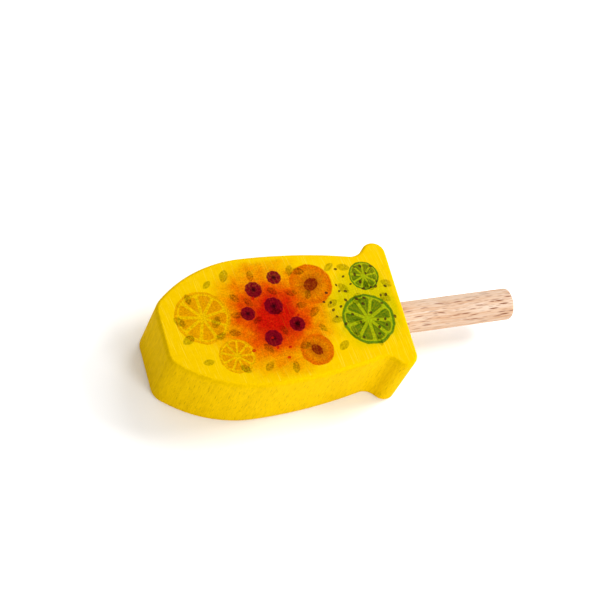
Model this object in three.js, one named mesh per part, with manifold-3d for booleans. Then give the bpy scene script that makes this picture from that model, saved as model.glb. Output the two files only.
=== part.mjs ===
/**
 * A wooden toy ice lolly: a beech block cut from a moulded profile, painted yellow, with a bare
 * beech dowel glued into a blind hole in its wide end as the stick.
 *
 * Units are millimetres and +Z is up. The lolly lies flat: the block's lower face is on z = 0, its
 * tip points to -X and its stick to +X. The origin is on that lower plane, under the middle of the
 * whole length.
 */
import * as THREE from "three";
import { mergeVertices } from "three/addons/utils/BufferGeometryUtils.js";
import Module from "manifold-3d";

// Driving dimensions of the block, seen from above. Distances along it are from the flat tip.
const blockLength = 77;
const blockThickness = 25.5;
const widestHalfWidth = 21.4;
const widestFromTip = 29.6;
const tipCornerRadius = 5.6; // between the flat tip and the long side
const frontSideRadius = 42; // side of the block, from the tip corner to its widest place
const backSideRadius = 170; // side of the block, from its widest place to the neck
const neckFilletRadius = 4.9;
const lobeRadius = 3.9; // rounded end of the foot that flares out at the stick
const lobeHalfWidth = 17.4; // from the middle of the block to the centre of that round
const edgeRadius = 1; // sanded edge round the upper and lower faces

// Driving dimensions of the stick.
const stickDiameter = 10;
const stickExposed = 41;
const stickInserted = 20;
const stickRimRadius = 1.1;
const glueGap = 0.3; // all round the stick, in its hole
const drillPastFoot = 2; // so that the hole's mouth is cut clean

// Fineness of the facets.
const outlineStep = 1.6; // longest chord along the outline
const tightArcStep = THREE.MathUtils.degToRad(12);
const edgeSteps = 4;
const roundSides = 64;
const rimSteps = 5;
const weldDistance = 1e-4;

const overallLength = blockLength + stickExposed;
const tipX = -overallLength / 2;
const footX = tipX + blockLength;
const stickHeight = blockThickness / 2;

/** Points of an arc, in chords no longer than outlineStep and no wider than tightArcStep. */
function arcPoints(centre, radius, fromAngle, toAngle) {
  const sweep = toAngle - fromAngle;
  const byLength = Math.abs(sweep * radius) / outlineStep;
  const byAngle = Math.abs(sweep) / tightArcStep;
  const steps = Math.ceil(Math.max(byLength, byAngle));
  return Array.from({ length: steps + 1 }, (_, i) => {
    const angle = fromAngle + (sweep * i) / steps;
    return new THREE.Vector2(
      centre.x + radius * Math.cos(angle),
      centre.y + radius * Math.sin(angle),
    );
  });
}

/** The angle, from 0 to a full turn, in which one point lies from another. */
function direction(from, to) {
  return to.clone().sub(from).angle();
}

/** Centre of the fillet that lies outside two circles and touches both. */
function filletCentre(centreA, radiusA, centreB, radiusB, filletRadius) {
  const apart = centreA.distanceTo(centreB);
  const reachA = radiusA + filletRadius;
  const reachB = radiusB + filletRadius;
  const along = (apart ** 2 + reachA ** 2 - reachB ** 2) / (2 * apart);
  const across = Math.sqrt(reachA ** 2 - along ** 2);
  const unit = centreB.clone().sub(centreA).divideScalar(apart);
  const outward = new THREE.Vector2(-unit.y, unit.x);
  return centreA.clone().addScaledVector(unit, along).addScaledVector(outward, across);
}

/** Half of the block's outline, from the flat tip round to the flat foot, as tangent arcs. */
function halfOutline() {
  const frontCentre = new THREE.Vector2(tipX + widestFromTip, widestHalfWidth - frontSideRadius);
  const backCentre = new THREE.Vector2(frontCentre.x, widestHalfWidth - backSideRadius);
  const lobeCentre = new THREE.Vector2(footX - lobeRadius, lobeHalfWidth);

  // The tip's corner touches the front side from within, and the flat tip.
  const cornerX = tipX + tipCornerRadius;
  const cornerReach = frontSideRadius - tipCornerRadius;
  const cornerRise = Math.sqrt(cornerReach ** 2 - (frontCentre.x - cornerX) ** 2);
  const cornerCentre = new THREE.Vector2(cornerX, frontCentre.y + cornerRise);
  const cornerEnd = direction(frontCentre, cornerCentre);

  const neckCentre = filletCentre(
    backCentre,
    backSideRadius,
    lobeCentre,
    lobeRadius,
    neckFilletRadius,
  );
  const neckStart = direction(neckCentre, backCentre);
  const neckEnd = direction(neckCentre, lobeCentre);

  return [
    ...arcPoints(cornerCentre, tipCornerRadius, Math.PI, cornerEnd),
    ...arcPoints(frontCentre, frontSideRadius, cornerEnd, Math.PI / 2).slice(1),
    ...arcPoints(backCentre, backSideRadius, Math.PI / 2, neckStart - Math.PI).slice(1),
    ...arcPoints(neckCentre, neckFilletRadius, neckStart, neckEnd).slice(1),
    ...arcPoints(lobeCentre, lobeRadius, neckEnd - Math.PI, 0).slice(1),
  ];
}

/** The whole outline, counter-clockwise. */
function blockOutline() {
  const upper = halfOutline();
  const lower = upper.map((p) => new THREE.Vector2(p.x, -p.y));
  return new THREE.Shape([...lower, ...upper.reverse()]);
}

/** A solid of manifold-3d with the geometry's closed surface. */
function solidOf(wasm, geometry) {
  const bare = geometry.clone();
  bare.deleteAttribute("normal");
  bare.deleteAttribute("uv");
  const merged = mergeVertices(bare, weldDistance);
  return new wasm.Manifold(
    new wasm.Mesh({
      numProp: 3,
      vertProperties: merged.attributes.position.array,
      triVerts: new Uint32Array(merged.index.array),
    }),
  );
}

/** The geometry of a solid of manifold-3d. */
function geometryOf(solid) {
  const mesh = solid.getMesh();
  const geometry = new THREE.BufferGeometry();
  geometry.setAttribute("position", new THREE.BufferAttribute(mesh.vertProperties, 3));
  geometry.setIndex(new THREE.BufferAttribute(mesh.triVerts, 1));
  geometry.computeVertexNormals();
  return geometry;
}

/** The block, with its outline drawn upwards, its edges rounded and the stick's hole drilled. */
function blockGeometry(wasm) {
  const body = new THREE.ExtrudeGeometry(blockOutline(), {
    depth: blockThickness - 2 * edgeRadius,
    bevelThickness: edgeRadius,
    bevelSize: edgeRadius,
    bevelOffset: -edgeRadius,
    bevelSegments: edgeSteps,
  });
  body.translate(0, 0, edgeRadius);

  const drillRadius = stickDiameter / 2 + glueGap;
  const drillReach = stickInserted + glueGap;
  const drill = new THREE.CylinderGeometry(
    drillRadius,
    drillRadius,
    drillReach + drillPastFoot,
    roundSides,
  );
  drill.rotateZ(-Math.PI / 2);
  drill.translate(footX + (drillPastFoot - drillReach) / 2, 0, stickHeight);
  return geometryOf(solidOf(wasm, body).subtract(solidOf(wasm, drill)));
}

/** The stick, turned about +Y from y = 0, with both rims rounded. */
function stickGeometry() {
  const radius = stickDiameter / 2;
  const length = stickInserted + stickExposed;
  const rim = (centreY, fromAngle) =>
    Array.from({ length: rimSteps + 1 }, (_, i) => {
      const angle = fromAngle + ((Math.PI / 2) * i) / rimSteps;
      return new THREE.Vector2(
        radius - stickRimRadius + stickRimRadius * Math.cos(angle),
        centreY + stickRimRadius * Math.sin(angle),
      );
    });
  const profile = [
    new THREE.Vector2(0, 0),
    ...rim(stickRimRadius, -Math.PI / 2),
    ...rim(length - stickRimRadius, 0),
    new THREE.Vector2(0, length),
  ];
  return new THREE.LatheGeometry(profile, roundSides);
}

const wasm = await Module();
wasm.setup();

const yellowPaintedBeech = new THREE.MeshStandardMaterial({
  color: 0xffd200,
  roughness: 0.5,
  metalness: 0,
});
const bareBeech = new THREE.MeshStandardMaterial({
  color: 0xe6c0a0,
  roughness: 0.6,
  metalness: 0,
});

const block = new THREE.Mesh(blockGeometry(wasm), yellowPaintedBeech);
block.name = "painted_block";

const stick = new THREE.Mesh(stickGeometry(), bareBeech);
stick.name = "dowel_stick";
stick.rotation.z = -Math.PI / 2;
stick.position.set(footX - stickInserted, 0, stickHeight);

const lolly = new THREE.Group();
lolly.add(block, stick);

export default lolly;
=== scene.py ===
"""Dresses a wooden toy ice lolly: a printed, yellow-stained beech block on a bare beech dowel.

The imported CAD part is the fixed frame, and everything is placed in it in metres: the block's
lower face on z = 0, its tip towards -X and its stick towards +X. The block and the stick are
made again with a fine surface, and dressed in materials that share one model of beech.
"""
import logging
import math
from collections.abc import Mapping, Sequence
from dataclasses import dataclass, field
from enum import Enum
from typing import NamedTuple

import bpy
from mathutils import Matrix, Vector


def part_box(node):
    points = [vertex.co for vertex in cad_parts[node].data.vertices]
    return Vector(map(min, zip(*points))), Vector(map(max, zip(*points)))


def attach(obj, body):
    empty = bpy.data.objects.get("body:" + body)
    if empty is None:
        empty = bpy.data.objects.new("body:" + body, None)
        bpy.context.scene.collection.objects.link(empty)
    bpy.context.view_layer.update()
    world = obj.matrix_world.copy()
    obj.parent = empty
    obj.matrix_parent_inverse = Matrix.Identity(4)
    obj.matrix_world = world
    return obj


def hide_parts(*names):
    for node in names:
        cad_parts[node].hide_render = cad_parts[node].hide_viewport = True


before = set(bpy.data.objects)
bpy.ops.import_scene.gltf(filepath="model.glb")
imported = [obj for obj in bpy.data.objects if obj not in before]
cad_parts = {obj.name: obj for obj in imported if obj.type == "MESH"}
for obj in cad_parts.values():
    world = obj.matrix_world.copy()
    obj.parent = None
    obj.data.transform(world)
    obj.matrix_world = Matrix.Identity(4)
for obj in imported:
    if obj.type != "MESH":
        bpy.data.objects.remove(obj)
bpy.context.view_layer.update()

MM = 0.001
PER_METRE = 1000.0  # millimetres in a metre: patterns are laid out in millimetres
FULL_TURN = 2 * math.pi
HALF_TURN = math.pi
QUARTER_TURN = math.pi / 2
WELD = 0.01 * MM  # points this close are one

MATHS = "ShaderNodeMath"
VECTORS = "ShaderNodeVectorMath"
RANGE = "ShaderNodeMapRange"
MIX = "ShaderNodeMix"
NOISE = "ShaderNodeTexNoise"
CELLS = "ShaderNodeTexVoronoi"
PLACING = "ShaderNodeMapping"
JOIN = "ShaderNodeCombineXYZ"
SPLIT = "ShaderNodeSeparateXYZ"
CHANNELS = "ShaderNodeSeparateColor"
GROUP = "ShaderNodeGroup"
MOVE = "GeometryNodeTransform"
SHIFT = "GeometryNodeSetPosition"
RESULT = "NodeGroupOutput"

EASED = {"interpolation_type": "SMOOTHSTEP"}  # a range that eases in and out
IN_COLOUR = {"data_type": "RGBA"}  # a mix of two colours
FLATTEN = (1.0, 1.0, 0.0)  # multiplies a place, to leave its x and y

Source = (
    bpy.types.NodeSocket
    | bpy.types.Node
    | Sequence[bpy.types.Node]
    | bpy.types.Material
    | Sequence[float]
    | float
    | None
)
Sockets = Mapping[str, bpy.types.NodeSocket]
log = logging.getLogger("toy_ice_lolly")


class Body(Enum):
    """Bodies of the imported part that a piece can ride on."""

    WHOLE = "root"


class Tree(Enum):
    """Kinds of node tree."""

    SHADING = "ShaderNodeTree"
    SHAPING = "GeometryNodeTree"


class Socket(Enum):
    """Kinds of socket on a node group's interface."""

    NUMBER = "NodeSocketFloat"
    COUNT = "NodeSocketInt"
    VECTOR = "NodeSocketVector"
    GEOMETRY = "NodeSocketGeometry"


class Blend(Enum):
    """Ways in which a colour meets what is under it."""

    OVER = "MIX"
    THROUGH = "MULTIPLY"
    LIGHTENING = "SCREEN"


class Motif(Enum):
    """Fruits that the print repeats."""

    CITRUS = "citrus wheel"
    PEACH = "halved peach"
    RASPBERRY = "raspberry"


class Mottle(NamedTuple):
    """A noise pattern, in the order of the noise node's inputs.

    The scale counts patches in a unit of the place, the detail counts layers of finer patches, and
    the roughness is how much each finer layer adds.
    """

    scale: float
    detail: float = 2.0
    roughness: float = 0.5


class Span(NamedTuple):
    """A range, in the order of the range node's inputs: low to high gives at_low to at_high."""

    low: float
    high: float
    at_low: float = 0.0
    at_high: float = 1.0


def linear(colour: str) -> tuple[float, float, float, float]:
    """Turns an sRGB colour into the linear one that shaders take.

    Args:
        colour: Six hexadecimal digits, red first.

    Returns:
        Red, green, blue and an alpha of 1.
    """
    shares = [int(colour[i : i + 2], 16) / 255 for i in (0, 2, 4)]
    # The numbers are those of the sRGB standard's own curve.
    red, green, blue = (
        s / 12.92 if s <= 0.04045 else ((s + 0.055) / 1.055) ** 2.4 for s in shares
    )
    return red, green, blue, 1.0


def add_node(
    tree: bpy.types.NodeTree,
    kind: str,
    *sources: Source,
    named: Mapping[str, Source] | None = None,
    **settings: object,
) -> bpy.types.Node:
    """Adds a node to a tree, with its settings and what feeds it.

    Args:
        tree: The tree that gets the node.
        kind: The node's type.
        sources: What feeds its enabled inputs, in order: a node's first output, a socket, a plain
            value, or None to leave an input as it is. An input that takes several links gets a
            sequence of nodes.
        named: What feeds further inputs, by name.
        settings: The node's own properties.

    Returns:
        The new node.
    """
    node = tree.nodes.new(kind)
    for name, value in settings.items():
        setattr(node, name, value)
    enabled = [socket for socket in node.inputs if socket.enabled]
    feeds = list(zip(enabled, sources))
    feeds += [(node.inputs[name], source) for name, source in (named or {}).items()]
    for socket, fed in feeds:
        for source in fed if socket.is_multi_input else (fed,):
            if isinstance(source, bpy.types.Node):
                source = next(output for output in source.outputs if output.enabled)
            if isinstance(source, bpy.types.NodeSocket):
                tree.links.new(source, socket)
            elif source is not None:
                socket.default_value = source
    return node


def new_group(
    name: str,
    kind: Tree,
    inputs: Mapping[str, Socket],
    outputs: Mapping[str, Socket],
) -> tuple[bpy.types.NodeTree, Sockets]:
    """Starts a node group with a named interface.

    Args:
        name: The group's name.
        kind: The kind of tree.
        inputs: Names and kinds of the inputs, in order.
        outputs: Names and kinds of the outputs, in order.

    Returns:
        The tree, and the output sockets of its input node, by name.
    """
    tree = bpy.data.node_groups.new(name, kind.value)
    for side, sockets in (("INPUT", inputs), ("OUTPUT", outputs)):
        for label, socket in sockets.items():
            tree.interface.new_socket(label, in_out=side, socket_type=socket.value)
    return tree, add_node(tree, "NodeGroupInput").outputs


def put_in_scene(name: str, data: bpy.types.ID) -> bpy.types.Object:
    """Makes an object and links it to the scene.

    Args:
        name: The object's name.
        data: Its mesh, light or camera.

    Returns:
        The object.
    """
    item = bpy.data.objects.new(name, data)
    bpy.context.scene.collection.objects.link(item)
    return item


@dataclass(frozen=True)
class Rays:
    """Rays of one size: the spacing and half size of their sheets, and the share that is there.

    Sizes are in millimetres: across the rays, outwards along them, and along the fibres. Beech's
    broad rays are up to some 0.25 mm across and its fine ones far less. Both are drawn coarser
    here, so that they show.
    """

    spacing: tuple[float, float, float]
    half_size: tuple[float, float, float]
    share: float


@dataclass(frozen=True)
class BeechGrain:
    """Beech: short dark flecks of its rays, faint growth rings and fine fibres.

    Rays are thin sheets that stand along the fibres and run outwards from the pith. A face cut
    across the radius shows their edges as short dashes, and an end shows them as long fine lines.
    Sizes are in millimetres, in the order of the rays'. Real fibres are some 0.02 mm across, and
    these are as coarse as they need to be to show.
    """

    name: str
    broad: Rays
    fine: Rays
    fibre_size: tuple[float, float, float]
    fine_strength: float = 0.55  # beside that of a broad ray
    sheet_edge: Span = Span(1.0, 0.4)  # in half sizes of the sheet, from its rim inwards
    evenness: float = 0.5  # power of each ray's strength: the lower, the more alike they are
    drift: Mottle = Mottle(0.05, 1.0)
    drift_reach: Span = Span(0.0, 1.0, -1.2, 1.2)  # how far growth strays from straight
    ring_width: float = 2.7
    late_wood: Span = Span(0.35, 0.95)  # where a ring darkens, in shares of its width
    fibres: Mottle = Mottle(1.0, 3.0, 0.6)
    fibre_tones: Span = Span(0.32, 0.68)

    def sheets(self) -> bpy.types.NodeTree:
        """Builds the group that scatters rays as thin sheets through the wood.

        Returns:
            The group, from a place and sizes in millimetres to a mask.
        """
        tree, given = new_group(
            f"{self.name}: ray sheets",
            Tree.SHADING,
            {
                "Place": Socket.VECTOR,
                "Spacing": Socket.VECTOR,
                "Half size": Socket.VECTOR,
                "Share": Socket.NUMBER,
            },
            {"Mask": Socket.NUMBER},
        )
        spaced = add_node(tree, VECTORS, given["Place"], given["Spacing"], operation="DIVIDE")
        cells = add_node(tree, CELLS, spaced, 1.0)
        aside = add_node(tree, VECTORS, spaced, cells.outputs["Position"], operation="SUBTRACT")
        aside = add_node(tree, VECTORS, aside, given["Spacing"], operation="MULTIPLY")
        aside = add_node(tree, VECTORS, aside, given["Half size"], operation="DIVIDE")
        reach = add_node(tree, VECTORS, aside, operation="LENGTH")
        inside = add_node(tree, RANGE, reach, *self.sheet_edge, **EASED)
        chance = add_node(tree, CHANNELS, cells.outputs["Color"])
        missing = add_node(tree, MATHS, 1.0, given["Share"], operation="SUBTRACT")
        strength = add_node(tree, RANGE, chance, missing, 1.0, 0.0, 1.0)
        strength = add_node(tree, MATHS, strength, self.evenness, operation="POWER")
        mask = add_node(tree, MATHS, inside, strength, operation="MULTIPLY")
        add_node(tree, RESULT, mask)
        return tree

    def group(self) -> bpy.types.NodeTree:
        """Builds the group of the wood's whole figure.

        Returns:
            The group, from a place in millimetres (across the rays, outwards, along the fibres)
            to masks of the rays, the rings and the fibres.
        """
        tree, given = new_group(
            self.name,
            Tree.SHADING,
            {"Place": Socket.VECTOR},
            {"Ray": Socket.NUMBER, "Ring": Socket.NUMBER, "Fibre": Socket.NUMBER},
        )
        drift = add_node(tree, NOISE, given["Place"], *self.drift)
        drift = add_node(tree, RANGE, drift, *self.drift_reach)
        drift = add_node(tree, JOIN, drift, drift, 0.0)
        place = add_node(tree, VECTORS, given["Place"], drift, operation="ADD")

        sheets = self.sheets()
        broad, fine = (
            add_node(
                tree, GROUP, place, rays.spacing, rays.half_size, rays.share, node_tree=sheets
            )
            for rays in (self.broad, self.fine)
        )
        fine = add_node(tree, MATHS, fine, self.fine_strength, operation="MULTIPLY")
        ray = add_node(tree, MATHS, broad, fine, operation="MAXIMUM")

        outwards = add_node(tree, SPLIT, place).outputs["Y"]
        ring = add_node(tree, MATHS, outwards, self.ring_width, operation="DIVIDE")
        ring = add_node(tree, MATHS, ring, operation="FRACT")
        ring = add_node(tree, RANGE, ring, *self.late_wood, **EASED)

        combed = add_node(tree, VECTORS, place, self.fibre_size, operation="DIVIDE")
        fibre = add_node(tree, NOISE, combed, *self.fibres)
        fibre = add_node(tree, RANGE, fibre, *self.fibre_tones)
        add_node(tree, RESULT, ray, ring, fibre)
        return tree


@dataclass(frozen=True)
class Finish:
    """What every finish of wood shares: the beech under it, how it was sawn, and its sheen."""

    name: str
    grain: bpy.types.NodeTree
    turn: tuple[float, float, float]  # from the piece's axes to the grain's own
    edge_on: Span = Span(0.6, 0.95, 1.0, 0.2)  # a ray fades where its broad side faces out
    roughness: Span = Span(0.0, 1.0, 0.5, 0.62)  # from between the fibres to on them
    fibre_height: float = 0.6  # beside the depth of a ray
    relief: float = 0.035 * MM
    specular: float = 0.3
    specular_tint: str = "FFFFFF"

    def start(self) -> tuple[bpy.types.Material, bpy.types.NodeTree, bpy.types.Node]:
        """Starts a material with an empty tree.

        Returns:
            The material, its tree, and the place on the piece in millimetres.
        """
        material = bpy.data.materials.new(self.name)
        material.use_nodes = True
        tree = material.node_tree
        tree.nodes.clear()
        own = add_node(tree, "ShaderNodeTexCoord").outputs["Object"]
        place = add_node(tree, VECTORS, own, named={"Scale": PER_METRE}, operation="SCALE")
        return material, tree, place

    def figure(self, tree: bpy.types.NodeTree, place: bpy.types.Node) -> bpy.types.Node:
        """Adds the beech's figure, turned the way the piece was sawn.

        Args:
            tree: The material's tree.
            place: The place on the piece in millimetres.

        Returns:
            The node with the Ray, Ring and Fibre outputs.
        """
        sawn = add_node(tree, PLACING, place, named={"Rotation": self.turn})
        return add_node(tree, GROUP, sawn, node_tree=self.grain)

    def facing(
        self, tree: bpy.types.NodeTree, axis: str, turn: Sequence[float] | None = None
    ) -> bpy.types.Node:
        """Adds how squarely the surface faces along an axis, either way.

        Args:
            tree: The material's tree.
            axis: X, Y or Z.
            turn: A turn that is given to the surface's direction first, in radians.

        Returns:
            The node, from 0 to 1.
        """
        normal = add_node(tree, "ShaderNodeNewGeometry").outputs["Normal"]
        if turn:
            normal = add_node(tree, PLACING, normal, named={"Rotation": turn})
        along = add_node(tree, SPLIT, normal).outputs[axis]
        return add_node(tree, MATHS, along, operation="ABSOLUTE")

    def edges(self, tree: bpy.types.NodeTree) -> bpy.types.Node:
        """Adds how far a ray shows its dark edge, and not its broad face, which hardly shows.

        Args:
            tree: The material's tree.

        Returns:
            The node, from 0 to 1.
        """
        return add_node(tree, RANGE, self.facing(tree, "X", self.turn), *self.edge_on)

    def close(
        self, tree: bpy.types.NodeTree, colour: bpy.types.Node, figure: bpy.types.Node
    ) -> None:
        """Ends the material in its shader, with a sheen and a relief that follow the grain.

        Args:
            tree: The material's tree.
            colour: The colour's node.
            figure: The beech's figure.
        """
        fibre = figure.outputs["Fibre"]
        roughness = add_node(tree, RANGE, fibre, *self.roughness)
        height = add_node(tree, MATHS, fibre, self.fibre_height, operation="MULTIPLY")
        height = add_node(tree, MATHS, height, figure.outputs["Ray"], operation="SUBTRACT")
        bump = add_node(
            tree,
            "ShaderNodeBump",
            named={"Strength": 1.0, "Distance": self.relief, "Height": height},
        )
        shader = add_node(
            tree,
            "ShaderNodeBsdfPrincipled",
            named={
                "Base Color": colour,
                "Roughness": roughness,
                "Normal": bump,
                "Specular IOR Level": self.specular,
                "Specular Tint": linear(self.specular_tint),
            },
        )
        add_node(tree, "ShaderNodeOutputMaterial", shader)


@dataclass(frozen=True)
class BareBeech(Finish):
    """Beech dowel, moulded and left bare: pale and pinkish, matt, with short brown flecks."""

    pale: str = "CFBBA8"
    tan: str = "B1835C"
    fleck: str = "6E3300"
    end: str = "A47E5E"
    fibre_tone: float = 0.6
    cloud_tone: float = 0.35
    ring_tone: float = 0.2
    clouds_per_mm: tuple[float, float, float] = (0.06, 0.25, 0.25)
    cloud: Mottle = Mottle(1.0)
    cloud_tones: Span = Span(0.35, 0.7)
    end_shade: Span = Span(0.6, 1.0, 0.0, 0.6)
    roughness: Span = Span(0.0, 1.0, 0.55, 0.7)
    fibre_height: float = 0.5
    relief: float = 0.03 * MM

    def material(self) -> bpy.types.Material:
        """Builds the material.

        Returns:
            The material of the dowel, its fibres along X.
        """
        material, tree, place = self.start()
        figure = self.figure(tree, place)
        fibre, ring = figure.outputs["Fibre"], figure.outputs["Ring"]
        cloudy = add_node(tree, VECTORS, place, self.clouds_per_mm, operation="MULTIPLY")
        cloud = add_node(tree, NOISE, cloudy, *self.cloud)
        cloud = add_node(tree, RANGE, cloud, *self.cloud_tones)
        tone = add_node(tree, MATHS, fibre, self.fibre_tone, operation="MULTIPLY")
        tone = add_node(tree, MATHS, cloud, self.cloud_tone, tone, operation="MULTIPLY_ADD")
        tone = add_node(tree, MATHS, ring, self.ring_tone, tone, operation="MULTIPLY_ADD")
        colour = add_node(tree, MIX, tone, linear(self.pale), linear(self.tan), **IN_COLOUR)
        # The sawn end drinks in light, so it looks a shade darker than the sides.
        shade = add_node(tree, RANGE, self.facing(tree, "X"), *self.end_shade)
        colour = add_node(tree, MIX, shade, colour, linear(self.end), **IN_COLOUR)
        ray = add_node(
            tree, MATHS, figure.outputs["Ray"], self.edges(tree), operation="MULTIPLY"
        )
        colour = add_node(tree, MIX, ray, colour, linear(self.fleck), **IN_COLOUR)
        self.close(tree, colour, figure)
        return material


@dataclass(frozen=True)
class StainedBeech(Finish):
    """Beech stained yellow and sealed with a thin matt lacquer, so that its figure shows.

    A real lacquer shines more. Here the shine is kept far below that and takes the stain's
    colour, because a clear one would whiten the yellow where it is seen from low down.
    """

    yellow: str = "DEB400"
    deep: str = "AE8400"
    fleck: str = "5E4400"
    stain_depth: float = 0.45  # how much of the deeper yellow shows, from 0 to 1
    fibre_tone: float = 0.8
    ring_tone: float = 0.2
    fleck_strength: Span = Span(0.05, 0.5, 0.44, 0.0)  # from the upright sides over the edges
    specular: float = 0.005  # a real lacquer's is about 0.5
    specular_tint: str = "FFC800"

    def material(self) -> bpy.types.Material:
        """Builds the material of the moulded sides, where rays are short dark dashes.

        Returns:
            The material, its fibres along Z.
        """
        material, tree, place = self.start()
        figure = self.figure(tree, place)
        colour = self.stain(tree, figure)
        contrast = add_node(tree, RANGE, self.facing(tree, "Z"), *self.fleck_strength)
        contrast = add_node(tree, MATHS, contrast, self.edges(tree), operation="MULTIPLY")
        ray = add_node(tree, MATHS, figure.outputs["Ray"], contrast, operation="MULTIPLY")
        colour = add_node(tree, MIX, ray, colour, linear(self.fleck), **IN_COLOUR)
        self.close(tree, colour, figure)
        return material

    def stain(self, tree: bpy.types.NodeTree, figure: bpy.types.Node) -> bpy.types.Node:
        """Adds the stain, which takes a little unevenly.

        Args:
            tree: The material's tree.
            figure: The beech's figure.

        Returns:
            The colour's node.
        """
        fibre, ring = figure.outputs["Fibre"], figure.outputs["Ring"]
        tone = add_node(tree, MATHS, fibre, self.fibre_tone, operation="MULTIPLY")
        tone = add_node(tree, MATHS, ring, self.ring_tone, tone, operation="MULTIPLY_ADD")
        tone = add_node(tree, MATHS, tone, self.stain_depth, operation="MULTIPLY")
        return add_node(tree, MIX, tone, linear(self.yellow), linear(self.deep), **IN_COLOUR)


@dataclass(frozen=True)
class Arc:
    """A stretch of an outline: an arc about a centre, in metres and radians."""

    centre: Vector
    radius: float
    start: float
    end: float

    def points(self, chord: float) -> list[Vector]:
        """Gives points along the arc.

        Args:
            chord: The longest step between them, in metres.

        Returns:
            The points, both ends included.
        """
        sweep = self.end - self.start
        steps = math.ceil(abs(sweep) * self.radius / chord)
        angles = [self.start + sweep * i / steps for i in range(steps + 1)]
        return [
            self.centre + self.radius * Vector((math.cos(a), math.sin(a))) for a in angles
        ]


def heading(start: Vector, end: Vector) -> float:
    """Gives the angle in which one point lies from another.

    Args:
        start: The point that is looked from.
        end: The point that is looked at.

    Returns:
        The angle in radians, from 0 to a full turn.
    """
    return math.atan2(end.y - start.y, end.x - start.x) % FULL_TURN


@dataclass(frozen=True)
class Profile:
    """The moulded profile that the block is cut from, seen from above, as tangent arcs."""

    low: Vector
    high: Vector
    widest_from_tip: float = 29.6 * MM
    tip_corner_radius: float = 5.6 * MM
    front_radius: float = 42 * MM
    back_radius: float = 170 * MM
    neck_radius: float = 4.9 * MM
    lobe_radius: float = 3.9 * MM
    lobe_from_middle: float = 17.4 * MM
    chord: float = 0.45 * MM

    @property
    def front(self) -> Vector:
        """Centre of the long side's arc, from the tip to the widest place."""
        return Vector((self.low.x + self.widest_from_tip, self.high.y - self.front_radius))

    @property
    def back(self) -> Vector:
        """Centre of the long side's arc, from the widest place to the neck."""
        return Vector((self.front.x, self.high.y - self.back_radius))

    def half_outline(self) -> list[Vector]:
        """Joins the tangent arcs of one long side, from the tip to the foot.

        Returns:
            Points from the flat tip round to the flat foot, at y above 0.
        """
        corner_x = self.low.x + self.tip_corner_radius
        reach = self.front_radius - self.tip_corner_radius
        rise = math.sqrt(reach**2 - (self.front.x - corner_x) ** 2)
        corner = Vector((corner_x, self.front.y + rise))
        corner_end = heading(self.front, corner)

        lobe = Vector((self.high.x - self.lobe_radius, self.lobe_from_middle))
        neck = self.fillet_centre(lobe)
        neck_start = heading(neck, self.back)
        neck_end = heading(neck, lobe)
        arcs = (
            Arc(corner, self.tip_corner_radius, HALF_TURN, corner_end),
            Arc(self.front, self.front_radius, corner_end, QUARTER_TURN),
            Arc(self.back, self.back_radius, QUARTER_TURN, neck_start - HALF_TURN),
            Arc(neck, self.neck_radius, neck_start, neck_end),
            Arc(lobe, self.lobe_radius, neck_end - HALF_TURN, 0.0),
        )
        points = [arcs[0].points(self.chord)[0]]
        for arc in arcs:
            points += arc.points(self.chord)[1:]
        return points

    def fillet_centre(self, lobe: Vector) -> Vector:
        """Finds the neck's centre, which touches the long side and the lobe from outside.

        Args:
            lobe: Centre of the lobe.

        Returns:
            The neck's centre.
        """
        apart = (lobe - self.back).length
        reach_back = self.back_radius + self.neck_radius
        reach_lobe = self.lobe_radius + self.neck_radius
        along = (apart**2 + reach_back**2 - reach_lobe**2) / (2 * apart)
        across = math.sqrt(reach_back**2 - along**2)
        unit = (lobe - self.back) / apart
        return self.back + unit * along + Vector((-unit.y, unit.x)) * across

    def outline(self) -> list[Vector]:
        """Closes the outline over the flat tip and the flat foot.

        Returns:
            The points all round, counter-clockwise.
        """
        upper = self.half_outline()
        lower = [Vector((point.x, -point.y)) for point in upper]
        foot = self.straight(lower[-1], upper[-1])
        tip = self.straight(upper[0], lower[0])
        return [*lower, *foot, *reversed(upper), *tip]

    def straight(self, start: Vector, end: Vector) -> list[Vector]:
        """Gives points between two others, spaced as on the arcs.

        Args:
            start: The point before the first.
            end: The point after the last.

        Returns:
            The points between them.
        """
        steps = math.ceil((end - start).length / self.chord)
        return [start.lerp(end, i / steps) for i in range(1, steps)]

    def margin(self) -> bpy.types.NodeTree:
        """Builds the group that tells how far inside the outline a place lies.

        Returns:
            The group, from a place in millimetres to a depth in millimetres.
        """
        tree, given = new_group(
            "inside the face",
            Tree.SHADING,
            {"Place": Socket.VECTOR},
            {"Depth": Socket.NUMBER},
        )
        place = add_node(tree, VECTORS, given["Place"], operation="ABSOLUTE")
        aside = add_node(tree, SPLIT, place).outputs["Y"]
        along = add_node(tree, SPLIT, given["Place"]).outputs["X"]
        folded = add_node(tree, JOIN, along, aside, 0.0)
        sides = []
        for centre, radius in ((self.front, self.front_radius), (self.back, self.back_radius)):
            middle = (centre * PER_METRE).to_3d()
            reach = add_node(tree, VECTORS, folded, middle, operation="DISTANCE")
            sides.append(
                add_node(tree, MATHS, radius * PER_METRE, reach, operation="SUBTRACT")
            )
        widest = self.front.x * PER_METRE
        behind = add_node(tree, MATHS, along, widest, operation="GREATER_THAN")
        depth = add_node(tree, MIX, behind, *sides)
        from_tip = add_node(tree, MATHS, along, self.low.x * PER_METRE, operation="SUBTRACT")
        from_foot = add_node(tree, MATHS, self.high.x * PER_METRE, along, operation="SUBTRACT")
        for end in (from_tip, from_foot):
            depth = add_node(tree, MATHS, depth, end, operation="MINIMUM")
        add_node(tree, RESULT, depth)
        return tree


@dataclass(frozen=True)
class Inks:
    """Colours that one motif is printed in."""

    body: str
    pale: str
    dark: str


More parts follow.
